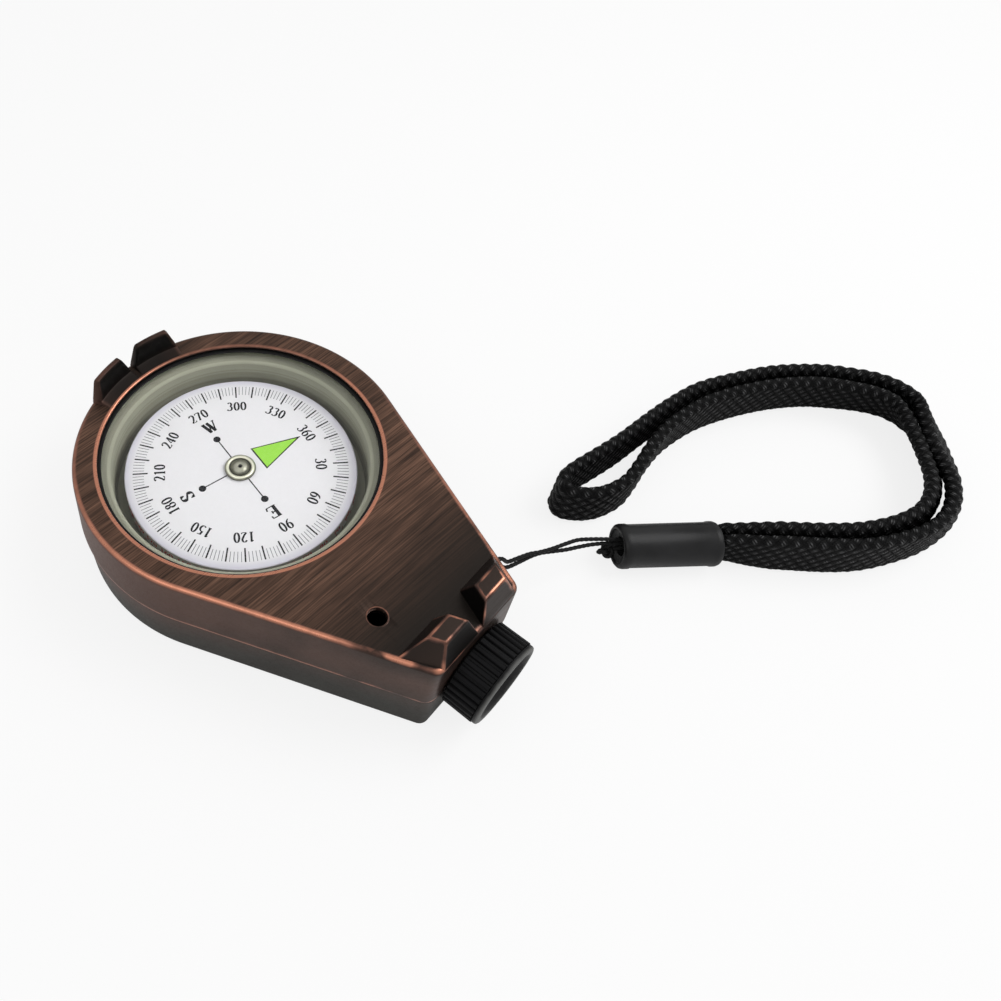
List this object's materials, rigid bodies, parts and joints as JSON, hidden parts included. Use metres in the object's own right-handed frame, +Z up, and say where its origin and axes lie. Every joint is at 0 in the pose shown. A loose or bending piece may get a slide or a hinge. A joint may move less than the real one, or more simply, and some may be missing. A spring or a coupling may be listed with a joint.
{
  "type": "pocket compass",
  "caption": "sighting pocket compass with a round capsule and turning card, a tapering body, ears as open sights, a knurled focusing eyepiece and a braided wrist strap",
  "frame": {"origin": "the point of the flat base under the card's pivot axis", "axes": "+Y from the eyepiece to the front ears, +X to the lanyard eye's side, +Z up from the base"},
  "size_m": [0.1284, 0.1167, 0.0231],
  "materials": {
    "antique_copper": "satin",
    "steel": "satin",
    "dark_steel": "satin",
    "clear_window": "gloss",
    "tinted_cup": "gloss",
    "black_rubber": "matte",
    "black_plastic": "satin",
    "grey_plastic": "satin",
    "brass": "satin",
    "jewel": "gloss",
    "magnet": "matte",
    "card_white": "matte",
    "black_cord": "matte"
  },
  "bodies": {
    "case": {"upper_case": "antique_copper", "lower_case": "antique_copper", "case_screw_1": "steel", "case_screw_2": "steel", "case_screw_3": "steel", "case_screw_4": "steel", "window_gasket": "black_rubber", "window": "clear_window", "capsule_cup": "tinted_cup", "capsule_cushion": "black_rubber", "diaphragm": "black_rubber", "diaphragm_ring": "brass", "filler_plug": "black_rubber", "pivot_post": "brass", "pivot_pin": "steel", "sight_plate": "clear_window", "eyepiece_tube": "black_plastic", "lanyard_eye": "dark_steel", "lanyard_cord": "black_cord", "cord_knot": "black_cord", "cord_sleeve": "grey_plastic", "wrist_strap": "black_cord"},
    "card": {"compass_card": "card_white", "card_hub": "brass", "jewel_bearing": "jewel", "card_magnet": "magnet"},
    "eyepiece": {"lens_barrel": "black_plastic", "eye_lens": "clear_window", "lens_retainer": "black_plastic"},
    "ring": {"focus_ring": "black_plastic"}
  },
  "joints": [
    {"name": "card_spin", "type": "hinge", "parent": "case", "child": "card", "pos_m": [0, 0, 0.011], "axis": [0, 0, 1], "continuous": true},
    {"name": "focus_travel", "type": "slide", "parent": "case", "child": "eyepiece", "axis": [0, -1, 0], "range_m": [0, 0.0015]},
    {"name": "focus_turn", "type": "hinge", "parent": "eyepiece", "child": "ring", "pos_m": [0, -0.0497, 0.0098], "axis": [0, -1, 0], "range_deg": [0, 270]}
  ],
  "couplings": [
    {"joint": "focus_turn", "follows": "focus_travel", "rad_per_m": 3141.5}
  ]
}
